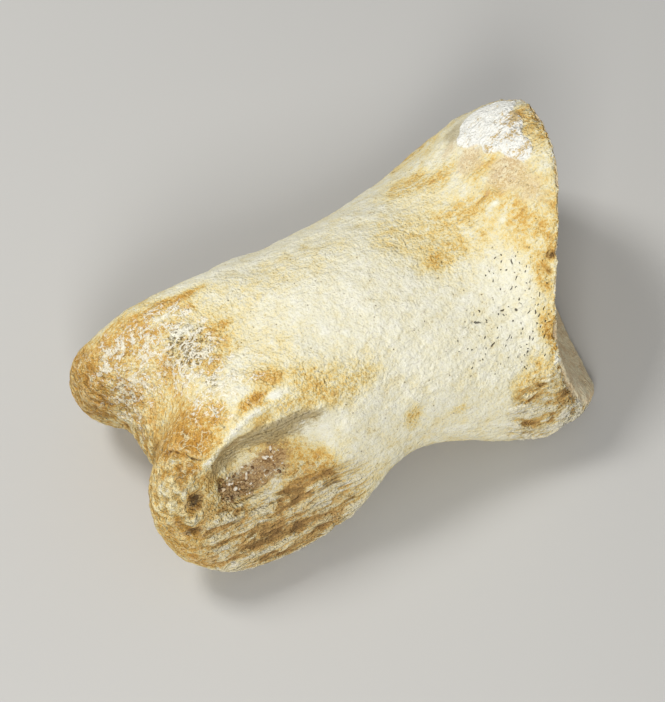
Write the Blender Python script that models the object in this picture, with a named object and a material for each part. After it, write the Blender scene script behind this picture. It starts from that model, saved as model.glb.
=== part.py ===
"""Fossil toe bone of a large meat-eating dinosaur, lying on its underside, at life size.

The bone is one solid. Its long axis runs along X, with the two-lobed far joint towards -X and the
hollow near joint towards +X. Z is up: the back of the toe faces up and the sole rests on the floor
at Z 0. The side with the deep ligament pit faces -Y. Sizes below are in millimetres.

The shape is written as a field that is below zero inside the bone. A box with gridded faces is
settled onto the field's surface, so the solid stays one closed skin of near-square faces.
"""

import math

import bmesh
import bpy
import numpy as np

MM = 0.001

# Cross-sections of the shaft, from the far joint to the near joint: place along X, half width,
# height of the back, height of the sole, sideways shift, height of the widest line as a share
# of the section's height, roll in degrees
STATIONS = (
    (-50.0, 22.0, 33.0, 4.0, 0.0, 0.34, 0.0),
    (-34.0, 23.2, 37.9, 4.0, 0.0, 0.34, 0.0),
    (-14.0, 24.8, 37.7, 5.0, 0.5, 0.39, 0.0),
    (6.0, 26.6, 35.7, 6.0, 0.5, 0.33, 3.5),
    (26.0, 32.4, 34.4, 2.0, 0.6, 0.28, 6.6),
    (42.0, 30.7, 44.2, 1.3, 1.9, 0.40, 4.0),
    (58.0, 28.4, 46.6, 0.9, 0.0, 0.35, 0.0),
)
BACK_FULLNESS = 1.95       # superellipse power of the rounded back
SOLE_FULLNESS = 3.4       # and of the flatter sole
SHAFT_END = -40.0         # the shaft stops inside the far joint
SHAFT_END_BLEND = 6.0

# Two condyles of the far joint, each a thick disc that leans out towards the sole:
# centre, radius along X, radius along Z, half thickness, lean in degrees
NEAR_CONDYLE = ((-29.3, -16.6, 17.7), 24.5, 19.3, 5.9, -25.0)
FAR_CONDYLE = ((-32.1, 16.2, 17.8), 22.2, 19.2, 6.9, 18.0)
CONDYLE_EDGE = 6.0
CONDYLE_FULLNESS = 2.2    # superellipse power of the disc's outline
JOINT_BLEND = 6.0

# Pulley groove between the condyles
GROOVE_CENTRE = (-34.0, 0.0, 17.0)
GROOVE_RADIUS = 13.9
GROOVE_HALF = 16.0

# Heels: the two knobs under the near joint that the bone rests on: centre, radii
NEAR_HEEL = ((37.5, -16.2, 7.9), (11.2, 10.8, 8.7))
FAR_HEEL = ((41.0, 18.0, 8.0), (12.0, 10.0, 8.6))
HEEL_BLEND = 7.0

# Near joint: one shallow dish, turned a little about Z and about Y
DISH_CENTRE = (35.0, 0.0, 20.0)
DISH_RADIUS_ACROSS = 100.0
DISH_RADIUS_UP = 13.2
DISH_LIP_SLOPE = 0.82
DISH_SKEW_ACROSS = 0.33
DISH_SKEW_UP = -0.13
RIM_BLEND = 3.0

# The upper corner of that joint on the near side is broken away along a slanting face
BREAK_POINT = (35.3, -21.0, 30.0)
BREAK_TURN = -41.0        # degrees about Z, of the face's outward direction
BREAK_RISE = 17.0         # and its slope upwards
BREAK_BLEND = 1.5

# Ligament pits in the outer faces of the condyles, hollow where the strap sat and running
# out along the shaft: centre, radii, turn in degrees about Y
NEAR_PIT = ((-29.0, -27.5, 28.5), (16.5, 10.0, 8.0), 14.0)
NEAR_PIT_DEEP = ((-36.6, -26.5, 26.2), (8.6, 11.2, 8.6), 30.0)
FAR_PIT = ((-35.0, 27.0, 26.0), (11.0, 8.5, 8.0), 12.0)
PIT_DEEP_BLEND = 5.0
PIT_BLEND = 2.4

# Shallow hollow on the back, behind the far joint
BACK_HOLLOW = ((-27.0, 0.0, 47.0), (20.0, 16.0, 10.0), 0.0)
BACK_HOLLOW_BLEND = 3.0

FLOOR_BLEND = 0.3

# The gridded box: cells along X, Y and Z, and the axis inside the bone that it is settled from
CELLS = (48, 22, 20)
BOX_HALF_WIDTH = 24.0
BOX_HALF_HEIGHT = 20.0
BOX_MIDDLE = 20.0
BOX_FAR_END = -54.0
AXIS_FROM = (-34.0, 0.0, 17.0)
AXIS_TO = (22.0, 0.0, 20.0)
REACH = 60.0
RELAX_STEPS = 30
RELAX_SHARE = 0.5

IVORY = (0.66, 0.55, 0.36, 1.0)
ROUGHNESS = 0.75


def smooth_min(a, b, width):
    mix = np.clip(0.5 + 0.5 * (b - a) / width, 0.0, 1.0)
    return b + (a - b) * mix - width * mix * (1.0 - mix)


def smooth_max(a, b, width):
    return -smooth_min(-a, -b, width)


def spline(x, knots, values):
    """Natural cubic curve through the stations."""
    knots = np.asarray(knots)
    values = np.asarray(values)
    count = len(knots)
    step = np.diff(knots)
    rise = np.diff(values) / step
    system = np.eye(count)
    right = np.zeros(count)
    for i in range(1, count - 1):
        system[i, i - 1 : i + 2] = step[i - 1], 2.0 * (step[i - 1] + step[i]), step[i]
        right[i] = 6.0 * (rise[i] - rise[i - 1])
    bend = np.linalg.solve(system, right)
    x = np.clip(x, knots[0], knots[-1])
    i = np.clip(np.searchsorted(knots, x) - 1, 0, count - 2)
    a = (knots[i + 1] - x) / step[i]
    b = (x - knots[i]) / step[i]
    curve = ((a**3 - a) * bend[i] + (b**3 - b) * bend[i + 1]) * step[i] ** 2 / 6.0
    return a * values[i] + b * values[i + 1] + curve


def turned(u, v, degrees):
    c = np.cos(np.radians(degrees))
    s = np.sin(np.radians(degrees))
    return u * c + v * s, v * c - u * s


def shaft(p):
    """Superellipse sections strung along X."""
    knots, *columns = zip(*STATIONS)
    half, back, sole, shift, widest, roll = (spline(p[:, 0], knots, c) for c in columns)
    middle = sole + widest * (back - sole)
    across, up = turned(p[:, 1] - shift, p[:, 2] - middle, roll)
    height = np.where(up > 0.0, back - middle, middle - sole)
    power = np.where(up > 0.0, BACK_FULLNESS, SOLE_FULLNESS)
    sum_of_powers = np.abs(across / half) ** power + np.abs(up / height) ** power + 1e-9
    return (sum_of_powers ** (1.0 / power) - 1.0) * np.sqrt(half * height)


def disc(p, centre, radius_x, radius_z, half, lean, edge, power):
    """A thick disc with a rounded edge, its axle along Y before it leans about X."""
    q = p - np.array(centre)
    along, up = turned(q[:, 1], q[:, 2], lean)
    around = (np.abs(q[:, 0] / radius_x) ** power + np.abs(up / radius_z) ** power) ** (1.0 / power)
    radial = (around - 1.0) * math.sqrt(radius_x * radius_z) + edge
    axial = np.abs(along) - half + edge
    beyond = np.sqrt(np.maximum(radial, 0.0) ** 2 + np.maximum(axial, 0.0) ** 2)
    return beyond + np.minimum(np.maximum(radial, axial), 0.0) - edge


def ellipsoid(p, centre, radii, turn=0.0):
    q = p - np.array(centre)
    along, up = turned(q[:, 0], q[:, 2], turn)
    q = np.stack([along, q[:, 1], up], 1)
    size = np.array(radii)
    near = np.linalg.norm(q / size, axis=1)
    steep = np.linalg.norm(q / size**2, axis=1) + 1e-9
    return near * (near - 1.0) / steep


def dish(p):
    """The face of the near joint: below zero on the bone's side of it."""
    q = p - np.array(DISH_CENTRE)
    bend = DISH_LIP_SLOPE * DISH_RADIUS_UP
    across = q[:, 1] ** 2 / (2.0 * DISH_RADIUS_ACROSS) + DISH_SKEW_ACROSS * q[:, 1]
    up = DISH_LIP_SLOPE * (np.hypot(q[:, 2], bend) - bend) + DISH_SKEW_UP * q[:, 2]
    return q[:, 0] - across - up


def broken_corner(p):
    turn = math.radians(BREAK_TURN)
    rise = math.radians(BREAK_RISE)
    out = (math.cos(rise) * math.cos(turn), math.cos(rise) * math.sin(turn), math.sin(rise))
    return (p - np.array(BREAK_POINT)) @ np.array(out)


def near_joint(p):
    return smooth_max(dish(p), broken_corner(p), BREAK_BLEND)


def body(p):
    """Shaft, far joint and heels in one, before anything is hollowed out."""
    f = smooth_max(shaft(p), SHAFT_END - p[:, 0], SHAFT_END_BLEND)
    groove = disc(p, GROOVE_CENTRE, GROOVE_RADIUS, GROOVE_RADIUS, GROOVE_HALF, 0.0, 2.0, 2.0)
    f = smooth_min(f, groove, JOINT_BLEND)
    f = smooth_min(f, disc(p, *NEAR_CONDYLE, CONDYLE_EDGE, CONDYLE_FULLNESS), JOINT_BLEND)
    f = smooth_min(f, disc(p, *FAR_CONDYLE, CONDYLE_EDGE, CONDYLE_FULLNESS), JOINT_BLEND)
    f = smooth_min(f, ellipsoid(p, *NEAR_HEEL), HEEL_BLEND)
    return smooth_min(f, ellipsoid(p, *FAR_HEEL), HEEL_BLEND)


def skin(p):
    """The body with its pits and hollow, worn flat where it stands on the floor."""
    f = smooth_max(body(p), -ellipsoid(p, *BACK_HOLLOW), BACK_HOLLOW_BLEND)
    pit = smooth_min(ellipsoid(p, *NEAR_PIT), ellipsoid(p, *NEAR_PIT_DEEP), PIT_DEEP_BLEND)
    f = smooth_max(f, -pit, PIT_BLEND)
    f = smooth_max(f, -ellipsoid(p, *FAR_PIT), PIT_BLEND)
    return smooth_max(f, -p[:, 2], FLOOR_BLEND)


def bone(p):
    """The whole bone: below zero inside, above zero outside."""
    return smooth_max(skin(p), near_joint(p), RIM_BLEND)


def boxed_grid(name):
    """A box from -1 to 1 whose faces are cut into cells."""
    mesh = bpy.data.meshes.new(name)
    bm = bmesh.new()
    bmesh.ops.create_cube(bm, size=2.0)
    for axis, cells in enumerate(CELLS):
        along = [e for e in bm.edges if abs((e.verts[0].co - e.verts[1].co)[axis]) > 1e-6]
        bmesh.ops.subdivide_edges(bm, edges=along, cuts=cells - 1, use_grid_fill=True)
    bm.to_mesh(mesh)
    bm.free()
    return mesh


def onto(field, p):
    """One Newton step towards the field's surface."""
    reach = 0.01
    slope = [(field(p + s) - field(p - s)) / (2.0 * reach) for s in np.eye(3) * reach]
    slope = np.stack(slope, 1)
    return p - (field(p) / np.maximum((slope**2).sum(1), 0.05))[:, None] * slope


def sum_over(edges, p):
    """For each point, the sum of the points that its edges lead to."""
    total = np.zeros_like(p)
    np.add.at(total, edges[:, 0], p[edges[:, 1]])
    np.add.at(total, edges[:, 1], p[edges[:, 0]])
    return total


def cast(p):
    """Sends each point of the box out from the inner axis to where it meets the skin."""
    box = p * np.array([0.0, BOX_HALF_WIDTH, BOX_HALF_HEIGHT])
    box[:, 2] += BOX_MIDDLE
    box[:, 0] = BOX_FAR_END - (p[:, 0] + 1.0) / 2.0 * (BOX_FAR_END + near_joint(box))
    first = np.array(AXIS_FROM)
    last = np.array(AXIS_TO)
    share = np.clip((box[:, 0] - first[0]) / (last[0] - first[0]), 0.0, 1.0)[:, None]
    start = first + (last - first) * share
    way = box - start
    way /= np.linalg.norm(way, axis=1)[:, None]
    low = np.zeros(len(p))
    high = np.full(len(p), REACH)
    for _ in range(40):
        middle = (low + high) / 2.0
        inside = bone(start + way * middle[:, None]) < 0.0
        low = np.where(inside, middle, low)
        high = np.where(inside, high, middle)
    return start + way * low[:, None]


def settle(mesh):
    """Moves the box's points onto the bone, evenly spaced, and centres the bone on the origin."""
    count = len(mesh.vertices)
    p = np.empty(count * 3)
    mesh.vertices.foreach_get("co", p)
    p = p.reshape(-1, 3)
    end = p[:, 0] > 0.999
    rim = end & (np.maximum(np.abs(p[:, 1]), np.abs(p[:, 2])) > 0.999)
    facet = end & ~rim
    edges = np.empty(len(mesh.edges) * 2, int)
    mesh.edges.foreach_get("vertices", edges)
    edges = edges.reshape(-1, 2)
    degree = np.bincount(edges.ravel(), minlength=count)[:, None]
    rim_edges = edges[rim[edges].all(1)]
    p = cast(p)
    for _ in range(RELAX_STEPS):
        mean = sum_over(edges, p) / degree
        mean[rim] = sum_over(rim_edges, p)[rim] / 2.0
        p = p + RELAX_SHARE * (mean - p)
        for _ in range(3):
            p[end] = onto(near_joint, p[end])
            p[~facet] = onto(skin, p[~facet])
    for _ in range(3):
        p = onto(bone, p)
    p[np.abs(p[:, 2]) < 0.02, 2] = 0.0
    p[:, :2] -= (p[:, :2].min(0) + p[:, :2].max(0)) / 2.0
    return p


def paint(name, colour, roughness):
    material = bpy.data.materials.new(name)
    material.use_nodes = True
    shader = material.node_tree.nodes["Principled BSDF"]
    shader.inputs["Base Color"].default_value = colour
    shader.inputs["Roughness"].default_value = roughness
    shader.inputs["Metallic"].default_value = 0.0
    material.diffuse_color = colour
    return material


def main():
    for old in list(bpy.data.objects):
        bpy.data.objects.remove(old)
    group = bpy.data.collections.new("toe_bone")
    bpy.context.scene.collection.children.link(group)
    mesh = boxed_grid("toe_bone")
    mesh.vertices.foreach_set("co", (settle(mesh) * MM).ravel())
    mesh.update()
    mesh.shade_smooth()
    mesh.materials.append(paint("fossil_bone", IVORY, ROUGHNESS))
    group.objects.link(bpy.data.objects.new("toe_bone", mesh))


main()
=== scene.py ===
"""Fossil toe bone of a large meat-eating dinosaur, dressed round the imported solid.

The object is one petrified bone, so after the camera the file follows it from its body out to the
finish of its surface, then the sand left in its pit, then the floor and the light. Sizes are in
millimetres unless a name says otherwise, with +X towards the hollow near joint and Z up.
"""

import math

import bmesh
import bpy
import numpy as np
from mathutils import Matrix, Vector


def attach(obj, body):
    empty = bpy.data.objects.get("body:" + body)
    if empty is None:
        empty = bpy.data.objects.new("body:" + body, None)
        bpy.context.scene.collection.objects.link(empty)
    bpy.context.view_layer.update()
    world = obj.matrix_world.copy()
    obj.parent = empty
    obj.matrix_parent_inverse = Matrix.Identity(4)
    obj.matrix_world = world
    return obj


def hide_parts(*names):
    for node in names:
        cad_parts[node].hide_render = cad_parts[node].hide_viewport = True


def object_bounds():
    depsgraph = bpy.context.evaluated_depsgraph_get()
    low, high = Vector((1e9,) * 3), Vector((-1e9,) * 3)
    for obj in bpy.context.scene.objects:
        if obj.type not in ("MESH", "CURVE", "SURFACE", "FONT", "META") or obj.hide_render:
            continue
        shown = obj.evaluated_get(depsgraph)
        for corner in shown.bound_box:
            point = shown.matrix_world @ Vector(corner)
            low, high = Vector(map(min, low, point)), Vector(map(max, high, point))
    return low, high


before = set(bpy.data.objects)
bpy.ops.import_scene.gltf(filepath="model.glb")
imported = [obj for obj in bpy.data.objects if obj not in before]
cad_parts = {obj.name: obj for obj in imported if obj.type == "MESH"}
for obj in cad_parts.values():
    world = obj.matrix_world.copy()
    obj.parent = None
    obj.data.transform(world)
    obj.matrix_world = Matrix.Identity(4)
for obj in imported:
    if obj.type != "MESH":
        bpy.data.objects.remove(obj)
solid_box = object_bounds()

# Camera: looks down on the bone from the side with the deep pit, a little from the far joint.
MM = 0.001
VIEW_AZIMUTH = -30.6
VIEW_ELEVATION = 55.3
VIEW_DISTANCE = 418.5
VIEW_TARGET = (0.4, -1.0, 18.0)
PICTURE = (665, 702)
PIXELS_PER_MM = 5.12
TARGET_PIXEL = (361.0, 337.0)
SENSOR = 36.0

azimuth = math.radians(VIEW_AZIMUTH)
elevation = math.radians(VIEW_ELEVATION)
away = Vector(
    (
        math.sin(azimuth) * math.cos(elevation),
        -math.cos(azimuth) * math.cos(elevation),
        math.sin(elevation),
    )
)
camera = bpy.data.objects.new("camera", bpy.data.cameras.new("camera"))
bpy.context.scene.collection.objects.link(camera)
camera.data.sensor_width = SENSOR
camera.data.lens = SENSOR * PIXELS_PER_MM * VIEW_DISTANCE / max(PICTURE)
camera.data.shift_x = (PICTURE[0] / 2 - TARGET_PIXEL[0]) / max(PICTURE)
camera.data.shift_y = (TARGET_PIXEL[1] - PICTURE[1] / 2) / max(PICTURE)
camera.data.clip_start = 0.01
camera.data.clip_end = 10.0
camera.location = (Vector(VIEW_TARGET) + away * VIEW_DISTANCE) * MM
camera.rotation_mode = "QUATERNION"
camera.rotation_quaternion = (-away).to_track_quat("-Z", "Y")
bpy.context.scene.camera = camera
bpy.context.scene.view_settings.view_transform = "Standard"

# Bone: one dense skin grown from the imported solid, then worn, chipped and grained in the mesh
# itself. It is petrified bone, smooth and hard on the shaft and open and spongy at the joints.
SKIN_CELL = 0.30
SKIN_LEVELS = 2

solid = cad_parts["toe_bone"]
rough = bpy.data.objects.new("rough_bone", solid.data.copy())
bpy.context.scene.collection.objects.link(rough)
weld = rough.modifiers.new("weld", "WELD")
weld.merge_threshold = 1e-6
rounding = rough.modifiers.new("rounding", "SUBSURF")
rounding.levels = rounding.render_levels = SKIN_LEVELS
even = rough.modifiers.new("even", "REMESH")
even.mode = "VOXEL"
even.voxel_size = SKIN_CELL * MM
even.use_smooth_shade = True
calm = rough.modifiers.new("calm", "SMOOTH")
calm.factor = 0.5
calm.iterations = 6
graph = bpy.context.evaluated_depsgraph_get()
skin = bpy.data.meshes.new_from_object(rough.evaluated_get(graph))
skin.name = "fossil_toe_bone"
bpy.data.objects.remove(rough)


def read(mesh, what, field):
    """A mesh's points or normals as rows of x, y, z."""
    rows = np.empty(len(mesh.vertices) * 3, np.float32)
    getattr(mesh, what).foreach_get(field, rows)
    return rows.reshape(-1, 3).astype(float)


def chance(cell, seed):
    """A number from 0 to 1 for each whole-number cell, the same in every run."""
    mixed = cell[..., 0] * 73856093 ^ cell[..., 1] * 19349663 ^ cell[..., 2] * 83492791
    mixed = (mixed ^ (seed * 2654435761)) & 0x7FFFFFFF
    mixed = ((mixed ^ (mixed >> 15)) * 2246822519) & 0x7FFFFFFF
    mixed = ((mixed ^ (mixed >> 13)) * 3266489917) & 0x7FFFFFFF
    return ((mixed ^ (mixed >> 16)) & 0xFFFF) / 65535.0


def cloud(p, size, seed, octaves=1):
    """Smooth lumps of one size with finer ones on them, about -1 to 1."""
    total = np.zeros(len(p))
    weight = 1.0
    for octave in range(octaves):
        q = p / size * 2.0**octave + 100.0
        cell = np.floor(q).astype(np.int64)
        share = q - cell
        share = share * share * (3.0 - 2.0 * share)
        for corner in range(8):
            step = np.array([corner & 1, corner >> 1 & 1, corner >> 2 & 1])
            near = np.where(step, share, 1.0 - share).prod(1)
            total += weight * near * (chance(cell + step, seed + octave) * 2.0 - 1.0)
        weight *= 0.5
    return total


def cells(p, size, seed):
    """Distance to the nearest and to the second nearest of scattered points, in cell sizes."""
    q = p / size + 100.0
    home = np.floor(q).astype(np.int64)
    first = np.full(len(p), 9.0)
    second = np.full(len(p), 9.0)
    for i in range(27):
        cell = home + np.array([i % 3 - 1, i // 3 % 3 - 1, i // 9 - 1])
        place = np.stack([chance(cell, seed + axis) for axis in range(3)], 1)
        far = np.linalg.norm(cell + place - q, axis=1)
        second = np.minimum(second, np.maximum(first, far))
        first = np.minimum(first, far)
    return first, second


def ramp(value, low, high):
    """0 below low, 1 above high, smooth between."""
    share = np.clip((value - low) / (high - low), 0.0, 1.0)
    return share * share * (3.0 - 2.0 * share)


def patches(p, marks):
    """Soft patches: each mark is x, y, z, reach along the bone, reach across it, strength."""
    total = np.zeros(len(p))
    for x, y, z, along, across, strength in marks:
        q = (p - (x, y, z)) / (along, across, across)
        total += (1.0 - total) * strength * np.exp(-((q**2).sum(1) ** 1.5))
    return total


def painted(p, marks, start):
    """A value painted on in patches, each over the last: x, y, z, reach along, across, value."""
    total = np.full(len(p), start)
    for x, y, z, along, across, value in marks:
        q = (p - (x, y, z)) / (along, across, across)
        total += (value - total) * np.exp(-((q**2).sum(1) ** 1.5))
    return total


def from_line(p, points):
    """Distance to a line through the points, and how far along it, from 0 to 1."""
    points = np.array(points, float)
    best = np.full(len(p), 1e9)
    place = np.zeros(len(p))
    last = len(points) - 1
    for i in range(last):
        leg = points[i + 1] - points[i]
        share = np.clip(((p - points[i]) @ leg) / (leg @ leg), 0.0, 1.0)
        far = np.linalg.norm(p - points[i] - share[:, None] * leg, axis=1)
        place = np.where(far < best, (i + share) / last, place)
        best = np.minimum(best, far)
    return best, place


p = read(skin, "vertices", "co") / MM
normal = read(skin, "vertex_normals", "vector")
swirl = np.stack([cloud(p, 6.0, seed, 2) for seed in (11, 12, 13)], 1)

# Where each kind of surface lies: the spongy net and the grains of the far joint, the fibres under
# the pit and at the corner of the near joint, its hollow face, and the worn rim round that face
NET_MARKS = (
    (-44.0, 8.0, 31.0, 9.0, 8.0, 0.8),
    (-36.0, 4.0, 35.5, 7.0, 9.0, 1.0),
    (-34.0, -6.0, 36.8, 7.0, 6.0, 0.5),
    (-38.0, -12.0, 35.8, 5.0, 4.0, 0.45),
    (-48.0, 4.0, 24.0, 4.0, 8.0, 0.6),
    (-28.0, -8.0, 37.2, 5.0, 5.0, 0.35),
    (-36.0, 22.0, 30.0, 9.0, 7.0, 0.5),
)
GRAIN_MARKS = (
    (-49.0, -19.0, 23.0, 5.0, 9.0, 1.0),
    (-52.0, 12.0, 18.0, 5.0, 10.0, 0.8),
    (-47.0, -17.0, 29.0, 4.0, 4.0, 0.8),
    (46.0, 10.0, 43.0, 4.0, 8.0, 0.5),
    (-38.7, -20.5, 21.0, 4.0, 4.0, 0.8),
    (-48.0, 0.0, 12.0, 6.0, 20.0, 0.8),
    (43.0, 26.0, 26.0, 6.0, 8.0, 0.6),
)
CORNER_MARKS = (
    (27.0, -30.0, 12.0, 11.0, 10.0, 1.0),
    (34.0, -30.0, 6.0, 9.0, 9.0, 1.0),
)
net = patches(p + 1.2 * swirl, NET_MARKS)
grains = patches(p + 0.8 * swirl, GRAIN_MARKS)
face = ramp(normal[:, 0], 0.35, 0.6) * ramp(p[:, 0], 24.0, 30.0)
near_side = ramp(-normal[:, 1], 0.25, 0.6) * ramp(-p[:, 1], 14.0, 20.0)
fibres = near_side * ramp(-p[:, 0] + 3.0 * swirl[:, 1], 8.0, 22.0) * ramp(-p[:, 2], -24.0, -17.0)
fibres *= ramp(p[:, 0] + 1.5 * swirl[:, 0], -50.0, -44.0)
corner = patches(p, CORNER_MARKS)
corner = ramp(corner + 0.1 * swirl[:, 2], 0.25, 0.6) * (1.0 - face)
rim_edge = ramp(normal[:, 0], -0.1, 0.3) * ramp(-normal[:, 0], -0.85, -0.5)
rim_edge *= ramp(p[:, 0], 22.0, 27.0)
skin_above = ramp(p[:, 2], 2.0, 6.0)

# The crack from the groove between the condyles over into the pit
CRACK_WIDTH = 0.24
CRACK = (
    (-47.4, -5.2, 19.6),
    (-48.0, -12.1, 29.5),
    (-46.6, -13.1, 31.1),
    (-45.5, -14.7, 31.8),
    (-44.5, -16.3, 31.7),
    (-43.2, -17.7, 31.5),
    (-41.4, -18.4, 31.4),
    (-41.3, -18.8, 29.5),
    (-40.0, -18.2, 25.8),
    (-39.7, -18.7, 24.2),
    (-40.3, -20.0, 22.8),
)
crack_far, crack_place = from_line(p + 0.35 * swirl, CRACK)
crack = np.exp(-((crack_far / CRACK_WIDTH) ** 2)) * ramp(crack_place, 0.0, 0.08)
crack *= ramp(cloud(p, 1.1, 26), -0.9, 0.1)

# The raised lip over the pit with the groove under it, the two ridges that run down beside the
# small hole, and the wall of the pit that the lip shades
LIP_WIDTH = 0.6
UNDER_LIP_WIDTH = 0.9
UNDER_LIP_SHIFT = (0.6, -0.9, -1.9)
RIDGE_WIDTH = 0.9
PIT_LIP = (
    (-42.5, -18.6, 30.6),
    (-40.3, -18.4, 31.9),
    (-37.8, -17.8, 33.4),
    (-35.5, -17.0, 34.6),
    (-32.7, -16.5, 35.3),
    (-30.3, -16.3, 35.5),
    (-27.5, -16.4, 35.4),
    (-24.0, -16.9, 34.9),
)
RIDGES = (
    ((-41.2, -18.5, 31.3), (-43.3, -18.5, 30.4), (-45.6, -18.7, 29.0), (-47.4, -19.5, 26.8)),
    ((-40.4, -19.8, 23.1), (-43.3, -21.4, 23.2), (-45.7, -22.2, 22.1), (-48.3, -22.6, 20.4)),
)
SHADE_MARKS = (
    (-17.9, -18.9, 32.4, 8.0, 2.4, 0.6),
    (-26.0, -18.2, 31.4, 7.0, 3.4, 0.8),
    (-32.0, -18.0, 30.2, 6.0, 4.2, 0.9),
    (-38.0, -18.6, 27.6, 4.5, 5.0, 1.0),
    (-28.0, -19.6, 27.6, 6.0, 2.6, 0.5),
)
lip_far, lip_place = from_line(p + 0.3 * swirl, PIT_LIP)
lip_ends = ramp(lip_place, 0.0, 0.1) * ramp(-lip_place, -1.0, -0.7)
lip = np.exp(-((lip_far / LIP_WIDTH) ** 2)) * lip_ends
under_far, _ = from_line(p + 0.3 * swirl, np.array(PIT_LIP) + UNDER_LIP_SHIFT)
under_lip = np.exp(-((under_far / UNDER_LIP_WIDTH) ** 2)) * lip_ends
ridge_far = [from_line(p + 0.3 * swirl, line)[0] for line in RIDGES]
ridges = sum(np.exp(-((far / RIDGE_WIDTH) ** 2)) for far in ridge_far)
# This mask also carries the painted shade of the wall's colour, further on
pit_wall = patches(p + 0.5 * swirl, SHADE_MARKS) * ramp(-normal[:, 2], -0.75, -0.25)

# Holes: the deep end of the pit, two in its floor, the small one beside it and two worn ones
HOLES = (
    (-34.4, -18.6, 23.8, 1.0, 0.8, 1.0),
    (-34.6, -22.0, 20.4, 0.9, 0.8, 1.0),
    (-45.9, -21.1, 24.7, 1.9, 1.5, 1.0),
    (-40.2, -19.9, 22.8, 1.0, 1.8, 0.9),
    (-48.4, -23.4, 18.6, 2.0, 1.0, 0.6),
    (35.0, -13.5, 35.6, 1.4, 1.2, 0.5),
    (33.8, -15.5, 33.6, 1.0, 1.0, 0.4),
)
holes = patches(p + 0.4 * swirl, HOLES)

# Streaks run along the bone: noise that is drawn out along X and bent a little by the swirl. The
# streaks of the near corner wave. Then the cells of the sponge and the knobs of the grains.
fray = np.stack([cloud(p, 1.6, seed, 1) for seed in (14, 15, 16)], 1)
streaked = (p + 1.0 * swirl + 0.3 * fray) * (0.14, 1.0, 1.0)
coarse = cloud(streaked, 1.05, 31, 2)
fine = cloud(streaked, 0.6, 35, 1)
bent = p + (0.0, 0.0, 1.0) * (2.0 * np.sin(p[:, 0] / 3.2)[:, None]) + 1.5 * swirl
wavy = cloud(bent * (0.22, 1.0, 1.0), 0.9, 41, 2)
sponge = p * (0.66, 1.0, 1.0) + 0.5 * swirl + 0.35 * fray
first, second = cells(sponge, 0.95, 51)
walls = 1.0 - ramp(second - first, 0.06, 0.36)
knobs = ramp(cloud(p + 0.3 * fray, 1.0, 57, 1), -0.45, 0.45)
streaks = np.where(corner > fibres, 0.7 * wavy + 0.5 * fine, 0.8 * coarse + 0.5 * fine)

# How far each kind of relief stands out or goes in, in millimetres
WAVE_HEIGHTS = (0.20, 0.15, 0.05)
DENT_HEIGHTS = (0.10, 0.06)
FIBRE_HEIGHT = 0.56
PIT_WALL_HEIGHT = 0.22
NET_HEIGHT = 0.26
GRAIN_HEIGHTS = (0.30, 0.26)
LIP_HEIGHTS = (0.32, 0.24)
UNDER_LIP_DEPTH = 0.55
RIDGE_HEIGHT = 0.35
CRACK_DEPTH = 0.40
HOLE_DEPTH = 0.8
RIM_HEIGHTS = (0.35, 0.30)
CHIP_DEPTH = 1.25
CHALK_HEIGHT = 0.30
BOX_SLACK = 0.6

broad = WAVE_HEIGHTS[0] * cloud(p, 9.0, 21, 2)
broad += WAVE_HEIGHTS[1] * cloud(p * (0.4, 1.0, 1.0), 3.2, 27, 2)
broad += WAVE_HEIGHTS[2] * coarse
height = DENT_HEIGHTS[0] * cloud(p, 1.9, 22, 2) + DENT_HEIGHTS[1] * cloud(p, 0.8, 63, 1)
height += (FIBRE_HEIGHT * np.maximum(fibres, corner) + PIT_WALL_HEIGHT * pit_wall) * streaks
height += net * NET_HEIGHT * (walls - 0.4) * ramp(cloud(p, 5.0, 23, 2), -0.9, 0.1)
height += grains * (GRAIN_HEIGHTS[0] * (knobs - 0.6) + GRAIN_HEIGHTS[1] * cloud(p, 2.4, 28, 2))
lip_height = LIP_HEIGHTS[0] + LIP_HEIGHTS[1] * cloud(p, 1.6, 62, 2)
height += lip_height * lip - UNDER_LIP_DEPTH * under_lip + RIDGE_HEIGHT * ridges
height -= CRACK_DEPTH * crack + HOLE_DEPTH * holes
rim_lumps = RIM_HEIGHTS[0] * cloud(p, 1.5, 24, 2) + RIM_HEIGHTS[1] * cloud(p, 3.4, 29, 1)
height += rim_edge * rim_lumps * skin_above
edge_chips = ramp(cloud(p, 3.0, 25, 2), 0.05, 0.70) * rim_edge * skin_above
height -= CHIP_DEPTH * edge_chips

# A thin chalky crust still lies on the upper corner of the near joint; below it the skin is gone
CHALK = (
    (42.0, 19.0, 38.5, 5.5, 5.5, 1.0),
    (38.5, 18.5, 37.5, 4.0, 4.5, 1.0),
    (41.5, 12.5, 41.0, 4.5, 4.0, 1.0),
    (40.3, 6.5, 42.3, 3.2, 3.2, 0.9),
)
chalk = ramp(patches(p + 1.2 * swirl, CHALK) + 0.05 * cloud(p, 2.0, 61, 2), 0.40, 0.46)
height += CHALK_HEIGHT * chalk
near_floor = ramp(p[:, 2], 0.05, 1.5)
p_new = p + normal * ((height + broad) * near_floor)[:, None]
p_new[:, 2] = np.maximum(p_new[:, 2], 0.0)
low = np.array(solid_box[0]) / MM
high = np.array(solid_box[1]) / MM
p_new = np.clip(p_new, low - BOX_SLACK, high + BOX_SLACK)
skin.vertices.foreach_set("co", (p_new * MM).astype(np.float32).ravel())
skin.update()
skin.shade_smooth()

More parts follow.
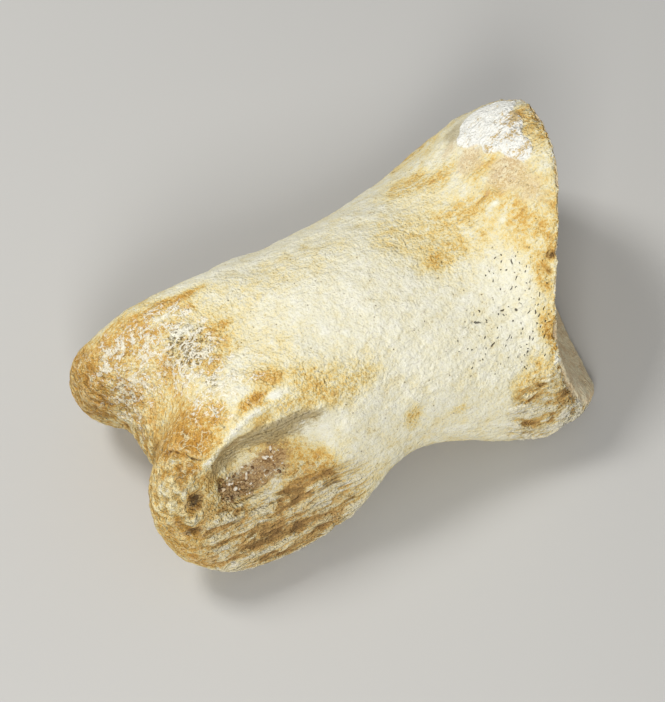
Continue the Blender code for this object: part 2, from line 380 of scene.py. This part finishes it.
# Iron stain from the ground the bone lay in: 0 is bare ivory, 0.5 straw and 1 deep ochre. Each
# mark is painted over the ones before it, so the small pale ones at the end of a group clear it.
SHAFT_STAIN = 0.12
SUNK_FULL = 0.35
STAIN_MARKS = (
    # The sole, the far side, the near face and the end
    (0.0, 0.0, -2.0, 60.0, 26.0, 0.55),
    (-20.0, 26.0, 12.0, 34.0, 12.0, 0.45),
    (34.0, 30.0, 18.0, 10.0, 12.0, 0.50),
    (-36.0, 24.0, 24.0, 12.0, 10.0, 0.55),
    (44.0, 0.0, 14.0, 10.0, 26.0, 0.45),
    (-44.0, 2.0, 12.0, 12.0, 24.0, 0.50),
    # The far joint
    (-45.1, 4.7, 28.7, 15.0, 14.0, 0.50),
    (-34.3, 2.2, 36.9, 9.0, 8.0, 0.56),
    (-48.6, -20.9, 23.6, 11.0, 12.0, 0.60),
    (-40.6, 6.4, 34.8, 10.0, 6.0, 0.52),
    (-52.0, 11.3, 25.4, 6.0, 7.0, 0.80),
    (-53.6, 13.6, 16.7, 4.0, 5.0, 0.66),
    (-51.4, 18.3, 24.4, 3.0, 5.0, 0.70),
    (-44.9, 11.2, 33.6, 7.0, 4.0, 0.82),
    (-39.9, 10.7, 36.0, 7.0, 3.6, 0.76),
    (-48.8, 10.3, 30.0, 4.0, 2.5, 0.75),
    (-39.5, 1.4, 33.7, 3.4, 2.2, 0.80),
    (-46.4, 4.5, 25.9, 1.8, 3.6, 0.90),
    (-42.4, -12.7, 33.9, 6.5, 5.5, 0.92),
    (-46.5, -11.4, 30.7, 3.2, 4.0, 0.76),
    (-38.3, -12.1, 35.9, 3.4, 2.2, 0.72),
    (-25.8, -10.5, 37.2, 3.2, 2.6, 0.70),
    (-30.0, -14.3, 36.5, 3.2, 2.0, 0.85),
    (-32.1, -3.7, 37.0, 2.2, 1.8, 0.75),
    (-28.2, 3.3, 36.9, 2.2, 1.2, 0.75),
    (-32.4, 12.8, 37.2, 6.5, 1.4, 0.75),
    (-31.9, 9.9, 37.4, 4.0, 1.2, 0.65),
    (-45.2, -17.5, 30.5, 2.0, 2.4, 0.75),
    # Round the pit and under it
    (-48.1, -24.6, 15.8, 7.0, 6.0, 0.66),
    (-30.0, -19.5, 27.0, 9.0, 6.0, 0.36),
    (-38.0, -26.5, 16.0, 9.0, 5.0, 0.52),
    (43.0, 12.0, 42.5, 4.0, 3.5, 0.50),
    (-26.0, -16.6, 34.6, 9.0, 2.4, 0.42),
    (-46.8, -26.3, 10.6, 4.0, 2.4, 0.95),
    (-51.0, -17.9, 24.8, 3.0, 5.0, 0.45),
    (-24.8, -24.3, 21.0, 6.0, 4.0, 0.74),
    (-27.3, -19.4, 24.6, 5.0, 2.4, 0.62),
    (-31.9, -27.6, 12.1, 16.0, 5.5, 0.58),
    (-22.8, -28.6, 8.8, 4.4, 3.0, 0.95),
    (-29.7, -29.2, 5.2, 9.0, 2.2, 0.50),
    (-41.9, -27.8, 6.1, 8.0, 2.0, 0.45),
    # The shaft behind the far joint
    (-14.5, -16.8, 33.9, 9.0, 4.5, 0.45),
    (-19.7, -13.0, 36.4, 4.0, 3.0, 0.50),
    (-18.5, -7.3, 37.1, 9.0, 5.0, 0.27),
    (-20.3, 8.5, 36.9, 12.0, 5.0, 0.24),
    (-7.0, 9.3, 35.7, 12.0, 4.0, 0.22),
    (-10.3, -7.7, 36.5, 9.0, 7.0, 0.10),
    (0.9, -3.5, 36.4, 10.0, 8.0, 0.10),
    (-36.2, 9.5, 37.0, 2.6, 0.9, 0.00),
    (-34.4, 5.6, 37.0, 3.0, 0.9, 0.00),
    (-26.5, -14.7, 36.3, 2.2, 0.9, 0.00),
    (-21.0, -20.6, 27.4, 4.4, 2.2, 0.05),
    (-18.2, -21.2, 28.4, 4.0, 2.0, 0.10),
    (-2.0, -24.5, 22.6, 1.8, 2.2, 0.52),
    (7.7, -26.2, 20.3, 1.8, 1.2, 0.42),
    (9.3, -15.1, 31.3, 12.0, 10.0, 0.10),
    # The near joint
    (23.0, 1.7, 33.7, 10.0, 9.0, 0.36),
    (23.2, 18.5, 29.9, 6.0, 5.0, 0.42),
    (16.0, -1.7, 33.7, 2.2, 2.0, 0.50),
    (28.9, 14.7, 33.5, 4.4, 3.0, 0.46),
    (31.9, 3.3, 37.4, 5.0, 2.0, 0.55),
    (26.5, 4.6, 34.4, 5.0, 2.6, 0.44),
    (18.1, -1.9, 33.4, 4.5, 3.0, 0.45),
    (34.7, 9.5, 38.5, 8.0, 3.0, 0.42),
    (33.9, -4.1, 38.3, 5.0, 8.0, 0.45),
    (13.5, 6.4, 33.8, 6.0, 6.0, 0.35),
    (44.9, 8.1, 44.3, 6.0, 7.0, 0.40),
    (46.0, 14.0, 42.0, 3.0, 2.4, 0.65),
    (39.5, -3.8, 42.0, 3.0, 8.0, 0.42),
    (43.7, -1.1, 44.0, 3.0, 4.0, 0.26),
    (31.8, 1.4, 37.2, 2.4, 0.7, 0.00),
    (30.6, -2.2, 36.6, 2.0, 0.8, 0.05),
    (36.0, -11.5, 37.3, 2.2, 4.0, 0.55),
    (32.4, -15.6, 33.4, 2.0, 5.0, 0.60),
    (29.4, -22.4, 27.4, 2.0, 6.0, 0.66),
    (25.5, -27.6, 21.5, 2.4, 4.0, 0.42),
    (21.6, -28.7, 19.1, 4.0, 3.4, 0.50),
    (25.9, -31.3, 15.6, 6.0, 6.0, 0.42),
    (21.0, -31.6, 11.4, 2.4, 1.6, 0.74),
    (37.5, -25.9, 6.4, 1.6, 1.6, 0.70),
    (29.7, -32.4, 9.8, 4.0, 2.4, 0.12),
    (14.8, -29.7, 9.0, 6.0, 2.0, 0.15),
    (23.2, -14.5, 30.5, 8.0, 9.0, 0.10),
)

# The floor of the pit, a grey and a tan crust, the slit pores and the open cells of the sponge
PIT_FLOOR_MARKS = (
    (-38.7, -20.5, 21.6, 2.4, 3.0, 1.0),
    (-34.7, -20.3, 21.8, 3.6, 3.4, 1.0),
    (-30.4, -20.4, 23.2, 4.2, 3.4, 0.9),
    (-26.6, -20.2, 25.2, 3.6, 2.2, 0.45),
)
GREY_MARKS = (
    (36.5, 23.0, 34.0, 3.0, 4.0, 1.0),
)
TAN_MARKS = (
    (33.6, 13.2, 36.9, 6.0, 3.5, 0.80),
    (36.2, 5.0, 40.2, 6.0, 3.5, 1.00),
    (33.0, 19.4, 33.9, 5.0, 2.5, 0.60),
    (38.0, -1.0, 41.5, 3.0, 5.0, 0.70),
)
PORE_MARKS = (
    (27.2, -11.5, 33.0, 5.0, 4.5, 0.8),
    (28.0, -17.0, 31.0, 4.5, 5.5, 1.0),
    (20.0, -19.7, 27.5, 5.5, 5.5, 0.9),
    (25.0, -23.0, 25.5, 4.5, 4.5, 1.0),
    (15.0, -20.5, 27.2, 5.0, 5.0, 0.5),
)
GAP_MARKS = (
    (-34.0, 2.0, 36.7, 6.0, 6.0, 1.0),
    (-34.0, -7.0, 36.8, 4.0, 2.5, 0.6),
)
rim_band = ramp(p[:, 0], 26.0, 30.0) * ramp(normal[:, 0] + 0.12 * swirl[:, 1], -0.15, 0.25)

LAYERS = {
    "stain": painted(p + 0.8 * swirl, STAIN_MARKS, SHAFT_STAIN),
    "pit_floor": patches(p + 0.7 * swirl, PIT_FLOOR_MARKS),
    "grey": patches(p + 1.0 * swirl, GREY_MARKS),
    # Painted shade on the wall of the pit under its lip
    "shade": pit_wall,
    "pores": patches(p, PORE_MARKS),
    "tan": patches(p + 0.8 * swirl, TAN_MARKS),
    "gaps": patches(p + 0.8 * swirl, GAP_MARKS),
    "chalk": chalk,
    "holes": holes,
    "crack": crack,
    "net": net,
    "grains": grains,
    "walls": walls,
    "knobs": knobs,
    "streaks": streaks,
    "fibres": np.maximum(fibres, 0.7 * corner),
    "face": face,
    "rim": rim_band * (1.0 - face),
    # How far the surface dips, which darkens the colour there as painted shade
    "sunk": np.clip(-height / SUNK_FULL, -1.0, 1.0),
}
for name, values in LAYERS.items():
    layer = skin.attributes.new(name, "FLOAT", "POINT")
    layer.data.foreach_set("value", values.astype(np.float32))

bone = bpy.data.objects.new("fossil_bone", skin)
bpy.context.scene.collection.objects.link(bone)
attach(bone, "root")
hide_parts("toe_bone")


# Surface of the bone: dry, dull petrified bone. Ivory where the hard skin is whole, ochre where
# iron has soaked in, with a pale net of spongy bone at the far joint and pores at the near one.
class Wire:
    """An output of a shader node. Sums, differences and products add their Math nodes."""

    tree = None

    def __init__(self, socket):
        self.socket = socket

    @classmethod
    def node(cls, kind, settings=None, values=None, output=0):
        """Adds a node: its settings first, then numbers or wires for its sockets."""
        made = cls.tree.nodes.new("ShaderNode" + kind)
        for name, setting in (settings or {}).items():
            if name == "stops":
                for i, (place, shade) in enumerate(setting):
                    stops = made.color_ramp.elements
                    stop = stops[i] if i < len(stops) else stops.new(place)
                    stop.position = place
                    stop.color = shade
            else:
                setattr(made, name, setting)
        for key, value in (values or {}).items():
            if isinstance(key, int):
                socket = made.inputs[key]
            else:
                socket = next(s for s in made.inputs if key in (s.identifier, s.name))
            if isinstance(value, Wire):
                cls.tree.links.new(value.socket, socket)
            else:
                socket.default_value = value
        if isinstance(output, int):
            return cls(made.outputs[output])
        return cls(next(s for s in made.outputs if output in (s.identifier, s.name)))

    @classmethod
    def math(cls, operation, *values):
        return cls.node("Math", {"operation": operation}, dict(enumerate(values)))

    def __add__(self, other):
        return self.math("ADD", self, other)

    def __sub__(self, other):
        return self.math("SUBTRACT", self, other)

    def __rsub__(self, other):
        return self.math("SUBTRACT", other, self)

    def __mul__(self, other):
        return self.math("MULTIPLY", self, other)

    __radd__ = __add__
    __rmul__ = __mul__

    def over(self, low, high):
        """0 below low, 1 above high, smooth between."""
        settings = {"interpolation_type": "SMOOTHSTEP"}
        return self.node("MapRange", settings, {0: self, 1: low, 2: high, 3: 0.0, 4: 1.0})


def shade(red, green, blue):
    """A colour given as 0 to 255 screen values, as the shader takes it."""
    linear = []
    for value in (red, green, blue):
        value /= 255.0
        linear.append(value / 12.92 if value <= 0.04045 else ((value + 0.055) / 1.055) ** 2.4)
    return (*linear, 1.0)


def blend(share, under, over):
    """The colour over laid on the colour under: all of it where share is 1."""
    values = {"Factor_Float": share, "A_Color": under, "B_Color": over}
    return Wire.node("Mix", {"data_type": "RGBA"}, values, "Result_Color")


def layer(name):
    """One of the values that the mesh carries at its points."""
    return Wire.node("Attribute", {"attribute_name": name}, output="Fac")


def stretched(place, scale):
    return Wire.node("VectorMath", {"operation": "MULTIPLY"}, {0: place, 1: scale})


def drift(place, scale):
    """A smooth vector noise about zero."""
    noise = Wire.node("TexNoise", {}, {"Vector": place, "Scale": scale, "Detail": 2.0}, "Color")
    return Wire.node("VectorMath", {"operation": "SUBTRACT"}, {0: noise, 1: (0.5, 0.5, 0.5)})


def pushed(place, push, reach):
    """Places moved by a vector noise, times its reach in millimetres."""
    values = {0: push, 1: (reach, reach, reach), 2: place}
    return Wire.node("VectorMath", {"operation": "MULTIPLY_ADD"}, values)


def grain(place, scale, detail=3.0, roughness=0.6):
    values = {"Vector": place, "Scale": scale, "Detail": detail, "Roughness": roughness}
    return Wire.node("TexNoise", {}, values, "Fac")


def pebbles(place, scale, feature="F1"):
    """Distance to the nearest of scattered points, or to the edge between two of them."""
    settings = {"feature": feature, "voronoi_dimensions": "3D"}
    return Wire.node("TexVoronoi", settings, {"Vector": place, "Scale": scale}, "Distance")


DRY_SHEEN = 0.25
PER_METRE = (1000.0, 1000.0, 1000.0)

fossil = bpy.data.materials.new("fossil_bone_skin")
fossil.use_nodes = True
tree = fossil.node_tree
Wire.tree = tree
surface = tree.nodes["Principled BSDF"]
surface.inputs["Specular IOR Level"].default_value = DRY_SHEEN

# Places on the bone in millimetres: as they are, bent, frayed, and drawn out along the bone
in_mm = stretched(Wire.node("TexCoord", output="Object"), PER_METRE)
wander = drift(in_mm, 0.35)
frayed = drift(in_mm, 1.6)
bent_place = pushed(in_mm, wander, 3.0)
frayed_place = pushed(bent_place, frayed, 1.3)
drawn_place = pushed(in_mm, wander, 1.2)
lengthwise = stretched(drawn_place, (0.12, 1.0, 1.0))

# Noise at each scale, shifted so that it lies about zero
mottle = grain(bent_place, scale=0.42, detail=5.0, roughness=0.68) - 0.5
speck = grain(in_mm, scale=1.7, detail=4.0, roughness=0.75) - 0.5
grit = grain(in_mm, scale=3.6, detail=3.0, roughness=0.7) - 0.5
streak = grain(lengthwise, scale=0.9, detail=4.0, roughness=0.65) - 0.5
hair = grain(lengthwise, scale=2.6, detail=3.0, roughness=0.7) - 0.5

stain = layer("stain")
net_here = layer("net")
grains_here = layer("grains")
fibres_here = layer("fibres")
sunk_here = layer("sunk")
chalk_here = layer("chalk")

# From bare ivory through straw to deep ochre, as the stain gets stronger
STAIN_FULL = 1.4
STAIN_COLOURS = (
    (0.00, (244, 241, 223)),
    (0.14, (237, 231, 202)),
    (0.34, (236, 219, 164)),
    (0.50, (228, 196, 120)),
    (0.64, (214, 166, 82)),
    (1.05, (194, 140, 58)),
    (1.40, (150, 106, 46)),
)
CREAM = shade(250, 244, 222)
OCHRE_PALE = shade(206, 172, 98)
BROWN = shade(118, 88, 58)
SOIL = shade(164, 132, 84)
# Painted shade in the furrows of the fibres and between the grains
CREVICE_SHADE_BROWN = shade(140, 106, 56)
STRAW_PALE = shade(240, 224, 176)
DARK = shade(52, 38, 26)
OLIVE = shade(118, 98, 58)
FIBRE_TAN = shade(206, 184, 140)
CELL_TAN = shade(196, 166, 104)
CHALK_WHITE = shade(250, 249, 240)
CHALK_DULL = shade(224, 216, 188)
STONE_GREY = shade(176, 162, 124)
TAN = shade(222, 196, 154)
TAN_PALE = shade(238, 224, 188)
TAN_WARM = shade(204, 168, 110)
PIT_BROWN = shade(140, 98, 60)
PIT_TAN = shade(204, 172, 122)
# Painted shade for the wall of the pit under its lip
PIT_WALL_PAINTED_SHADE = shade(166, 146, 104)

# The stain is ragged: the stronger it is, the more it breaks up into grains and mottles
ragged = (mottle * 2.2 + speck * 2.4 + grit * 1.2 + streak * 0.8) * (0.06 + 0.95 * stain)
ragged = ragged + fibres_here * (streak * 0.6 + hair * 2.2 - layer("streaks") * 0.25)
ragged = ragged + layer("rim") * (0.02 + speck * 2.8 + mottle * 1.4)
# Painted shade: the stain runs darker where the surface dips
ragged = ragged + sunk_here * 0.22
stops = [(place / STAIN_FULL, shade(*rgb)) for place, rgb in STAIN_COLOURS]
amount = (stain + ragged) * (1.0 / STAIN_FULL)
colour = Wire.node("ValToRGB", {"stops": stops}, {"Fac": amount}, "Color")

# Spongy bone: pale broken walls round small cells, with dark gaps where the cells stand open
net_place = stretched(frayed_place, (0.70, 1.0, 1.0))
wall = 1.0 - pebbles(net_place, 0.75, "DISTANCE_TO_EDGE").over(0.05, 0.17)
small_wall = 1.0 - pebbles(net_place, 1.35, "DISTANCE_TO_EDGE").over(0.04, 0.18)
net_share = (net_here * 1.1 + mottle * 1.6).over(0.35, 0.80)
broken_wall = (wall + layer("walls") * 0.30) * (speck * 1.2 + mottle * 2.0).over(-0.12, 0.06)
broken_small = small_wall * (speck + mottle).over(0.02, 0.12)
net_line = net_share * (broken_wall * 0.9 + broken_small * 0.6)
gap = (wall + small_wall * 0.5).over(0.40, 0.02) * speck.over(-0.12, 0.04)
gap = gap * (layer("gaps") + mottle * 1.6).over(0.50, 0.80) * net_share
cell_share = net_share * (1.0 - wall) * (mottle + speck).over(-0.10, 0.16)
colour = blend(cell_share * 0.55, colour, CELL_TAN)
colour = blend(gap * 0.85, colour, OLIVE)
colour = blend(net_line.over(0.08, 0.70) * 0.95, colour, CREAM)

# Thin pale veins run through the deep ochre
vein_place = stretched(frayed_place, (0.62, 1.0, 1.0))
vein = 1.0 - pebbles(vein_place, 0.55, "DISTANCE_TO_EDGE").over(0.02, 0.10)
vein = vein * stain.over(0.45, 0.70) * (speck * 1.3 + mottle * 1.5).over(-0.05, 0.10)
colour = blend(vein * 0.80 * (1.0 - fibres_here), colour, STRAW_PALE)

# Grains of the worn ends: a painted highlight on top of them and painted shade between them
knob = (layer("knobs") - 0.5) * 0.7 + speck * 1.5
colour = blend(grains_here * knob.over(0.0, 0.55) * 0.50, colour, STRAW_PALE)
colour = blend(grains_here * (0.0 - knob).over(0.0, 0.50) * 0.62, colour, CREVICE_SHADE_BROWN)

# Fibres: a tan of their own, with a painted highlight on the ridges and painted shade in the
# furrows
thread_place = stretched(drawn_place, (0.16, 1.0, 1.0))
threads = grain(thread_place, scale=1.9, detail=1.0, roughness=0.5) - 0.5
crest = layer("streaks") * 0.5 + hair * 1.0 + threads * 1.2
colour = blend(fibres_here * 0.30, colour, FIBRE_TAN)
# Painted highlight on the ridges of the fibres, then painted shade in their furrows
colour = blend(fibres_here * crest.over(0.08, 0.40) * 0.65, colour, STRAW_PALE)
colour = blend(fibres_here * (0.0 - crest).over(0.05, 0.40) * 0.70, colour, CREVICE_SHADE_BROWN)

# Crusts and stains that lie over the rest, and painted shade on the wall of the pit under its lip
tan_share = (layer("tan") + mottle * 1.5 + speck).over(0.25, 0.80)
tan_colour = blend((speck * 1.5 + grit + mottle).over(-0.10, 0.16), TAN_WARM, TAN_PALE)
colour = blend(tan_share * 0.75, colour, tan_colour)
grey_share = (layer("grey") + mottle * 1.2 + speck * 1.2).over(0.10, 1.10)
colour = blend(grey_share * 0.75, colour, STONE_GREY)
face_colour = blend((mottle + 0.5).over(0.42, 0.58), TAN, TAN_PALE)
face_colour = blend((speck - 0.04).over(0.0, 0.15) * 0.6, face_colour, CREAM)
colour = blend(layer("face") * 0.9, colour, face_colour)
floor_tone = (speck + grit * 0.8 + mottle * 0.6 + 0.5).over(0.40, 0.66)
floor_colour = blend(floor_tone, PIT_BROWN, PIT_TAN)
pit_share = (layer("pit_floor") + mottle * 2.0 + speck * 1.6).over(0.32, 0.80)
colour = blend(pit_share * 0.9, colour, floor_colour)
# Painted shade: the wall of the pit under its lip is darkened, standing in for the lip's shadow
painted_shade_share = (layer("shade") + mottle * 0.9 + speck + streak * 0.8).over(0.20, 0.80)
colour = blend(painted_shade_share * 0.82, colour, PIT_WALL_PAINTED_SHADE)
colour = blend(layer("shade") * (hair + speck * 0.8).over(0.04, 0.20) * 0.6, colour, STRAW_PALE)
chalk_colour = blend((mottle + speck + 0.5).over(0.50, 0.75) * 0.6, CHALK_WHITE, CHALK_DULL)
colour = blend(chalk_here * 0.95, colour, chalk_colour)
spots = chalk_here * (stain * 1.3 + speck * 2.0 + mottle * 2.2).over(0.48, 0.72)
colour = blend(spots * 0.8, colour, OCHRE_PALE)

# Pores and slits, the crack, the holes, flecks of dirt, and painted shade where the surface dips
turned_place = Wire.node(
    "VectorRotate",
    {"rotation_type": "Z_AXIS"},
    {"Vector": bent_place, "Angle": -0.85},
)
slit_place = stretched(turned_place, (0.30, 1.0, 1.0))
slit = 1.0 - pebbles(slit_place, 1.3).over(0.14, 0.23)
slit = slit * (layer("pores") + mottle * 1.7).over(0.22, 0.45)
dot = 1.0 - pebbles(in_mm, 0.60).over(0.05, 0.11)
dot = dot * (1.0 - chalk_here) * (mottle + 0.5).over(0.35, 0.6)
dirt = (0.0 - speck - grit * 0.9 - hair * 0.4).over(0.05, 0.30)
colour = blend(dirt * 0.46, colour, SOIL)
colour = blend(dot * 0.7, colour, BROWN)
colour = blend(slit * 0.85, colour, DARK)
# Painted shade: brown where the surface dips
colour = blend(sunk_here.over(0.40, 1.2) * 0.4, colour, BROWN)
colour = blend(layer("crack").over(0.30, 0.85) * 0.75, colour, DARK)
hole_share = (layer("holes") + speck * 1.8 + mottle * 1.6).over(0.25, 0.95)
colour = blend(hole_share * 0.8, colour, DARK)
tree.links.new(colour.socket, surface.inputs["Base Color"])

dullness = 0.76 + 0.3 * speck + 0.06 * stain
tree.links.new(dullness.socket, surface.inputs["Roughness"])

# Bump, in millimetres: only lumps of about 0.5 to 1 mm, because finer ones don't show
dents = grain(bent_place, scale=0.95, detail=1.0, roughness=0.55) - 0.5
pits = grain(in_mm, scale=2.1, detail=1.0, roughness=0.5) - 0.5
furrow_place = stretched(drawn_place, (0.22, 1.0, 1.0))
furrows = grain(furrow_place, scale=1.3, detail=1.0, roughness=0.5) - 0.5
relief = dents * (0.13 + 1.10 * stain) + pits * (0.12 + 0.65 * stain) + furrows * 0.24
relief = relief + net_share * net_line * 0.05
relief = relief + layer("shade") * (furrows * 0.9 + dents * 0.5)
relief = relief + (layer("rim") + grains_here) * (dents * 0.9 + pits * 0.6)
relief = relief + chalk_here * dents * 0.45
relief = relief + fibres_here * (furrows * 0.9 + threads * 0.8 + pits * 0.3)
relief = relief - slit * 0.35 - dot * 0.15 - gap * 0.25 - layer("crack") * 0.2
bump = Wire.node("Bump", {}, {"Strength": 1.0, "Distance": MM, "Height": relief}, "Normal")
tree.links.new(bump.socket, surface.inputs["Normal"])
skin.materials.clear()
skin.materials.append(fossil)

# Sand in the pit: quartz and ironstone grains that are cemented to its floor. Each is a worn
# pebble, partly sunk in the bone, and they are made as one mesh.
SAND_COUNT = 90
SAND_REACH = (0.16, 0.42)
SAND_SHAPE = (1.5, 0.9, 0.75)
SAND_ALONG = (-42.0, -28.0)
SAND_LOWEST = 15.0
SAND_SHARE = 0.45
SAND_LIFT = 0.3
SAND_LUMPS = 0.12
SAND_SEED = 5
SAND_COLOURS = (
    (0.00, (92, 66, 42)),
    (0.30, (168, 132, 84)),
    (0.55, (222, 200, 160)),
    (0.80, (240, 232, 214)),
)

there = (p[:, 2] > SAND_LOWEST) * (p[:, 0] > SAND_ALONG[0]) * (p[:, 0] < SAND_ALONG[1])
floor_share = LAYERS["pit_floor"] * there
chosen = np.random.default_rng(SAND_SEED)
seats = chosen.choice(np.flatnonzero(floor_share > SAND_SHARE), SAND_COUNT, replace=False)
pebble = bmesh.new()
bmesh.ops.create_icosphere(pebble, subdivisions=2, radius=1.0)
ball = np.array([v.co for v in pebble.verts])
sides = np.array([[v.index for v in f.verts] for f in pebble.faces])
pebble.free()
points = []
faces = []
tones = []
for i, seat in enumerate(seats):
    reach = SAND_REACH[0] + (SAND_REACH[1] - SAND_REACH[0]) * chosen.random() ** 2
    turn = np.linalg.qr(chosen.normal(size=(3, 3)))[0]
    lumps = 1.0 + SAND_LUMPS * cloud(ball + i, 0.8, 71, 1)[:, None]
    middle = p_new[seat] + SAND_LIFT * reach * normal[seat]
    points.append(middle + (ball * lumps * SAND_SHAPE * reach) @ turn)
    faces.append(sides + i * len(ball))
    tones.append(np.full(len(ball), chosen.random()))
sand_mesh = bpy.data.meshes.new("pit_sand")
sand_mesh.from_pydata(np.concatenate(points) * MM, [], np.concatenate(faces))
tone = sand_mesh.attributes.new("tone", "FLOAT", "POINT")
tone.data.foreach_set("value", np.concatenate(tones).astype(np.float32))
sand_mesh.shade_smooth()

sand_skin = bpy.data.materials.new("pit_sand_grains")
sand_skin.use_nodes = True
Wire.tree = sand_skin.node_tree
sand_stops = [(place, shade(*rgb)) for place, rgb in SAND_COLOURS]
grain_place = stretched(Wire.node("TexCoord", output="Object"), PER_METRE)
grain_tone = layer("tone") + 0.5 * (grain(grain_place, scale=3.0) - 0.5)
grain_colour = Wire.node("ValToRGB", {"stops": sand_stops}, {"Fac": grain_tone}, "Color")
grain_surface = sand_skin.node_tree.nodes["Principled BSDF"]
sand_skin.node_tree.links.new(grain_colour.socket, grain_surface.inputs["Base Color"])
dull = 0.45 + 0.3 * grain(grain_place, scale=4.0)
sand_skin.node_tree.links.new(dull.socket, grain_surface.inputs["Roughness"])
sand_mesh.materials.append(sand_skin)
sand = bpy.data.objects.new("pit_sand", sand_mesh)
bpy.context.scene.collection.objects.link(sand)
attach(sand, "root")

# Studio: a plain pale floor under an even pale sky. The main light is soft and comes from above
# and behind, which shades the pit under its lip. One to the left in front grazes the fibres, and a
# weak one lights the face of the near joint.
FLOOR_SIZE = 4.0
FLOOR_COLOUR = shade(196, 194, 189)
FLOOR_ROUGHNESS = 0.9
SKY_COLOUR = (0.95, 0.97, 1.0, 1.0)
SKY_STRENGTH = 0.28

# Each light: place in metres, size in metres, watts
LIGHTS = (
    ((-0.24, 0.28, 0.56), 0.18, 2.35),
    ((-0.30, -0.45, 0.42), 0.22, 2.55),
    ((0.62, -0.05, 0.12), 0.20, 0.22),
)

floor_mesh = bpy.data.meshes.new("floor")
half = FLOOR_SIZE / 2
corners = [(-half, -half, 0.0), (half, -half, 0.0), (half, half, 0.0), (-half, half, 0.0)]
floor_mesh.from_pydata(corners, [], [(0, 1, 2, 3)])
floor = bpy.data.objects.new("floor", floor_mesh)
bpy.context.scene.collection.objects.link(floor)
paint = bpy.data.materials.new("floor_paint")
paint.use_nodes = True
paint_surface = paint.node_tree.nodes["Principled BSDF"]
paint_surface.inputs["Base Color"].default_value = FLOOR_COLOUR
paint_surface.inputs["Roughness"].default_value = FLOOR_ROUGHNESS
floor_mesh.materials.append(paint)

for i, (place, size, power) in enumerate(LIGHTS):
    lamp = bpy.data.lights.new(f"soft_light_{i}", "AREA")
    lamp.size = size
    lamp.energy = power
    light = bpy.data.objects.new(f"soft_light_{i}", lamp)
    bpy.context.scene.collection.objects.link(light)
    light.location = place
    light.rotation_mode = "QUATERNION"
    light.rotation_quaternion = (-Vector(place)).to_track_quat("-Z", "Y")
sky = bpy.data.worlds.new("sky")
sky.use_nodes = True
backdrop = sky.node_tree.nodes["Background"]
backdrop.inputs["Color"].default_value = SKY_COLOUR
backdrop.inputs["Strength"].default_value = SKY_STRENGTH
bpy.context.scene.world = sky
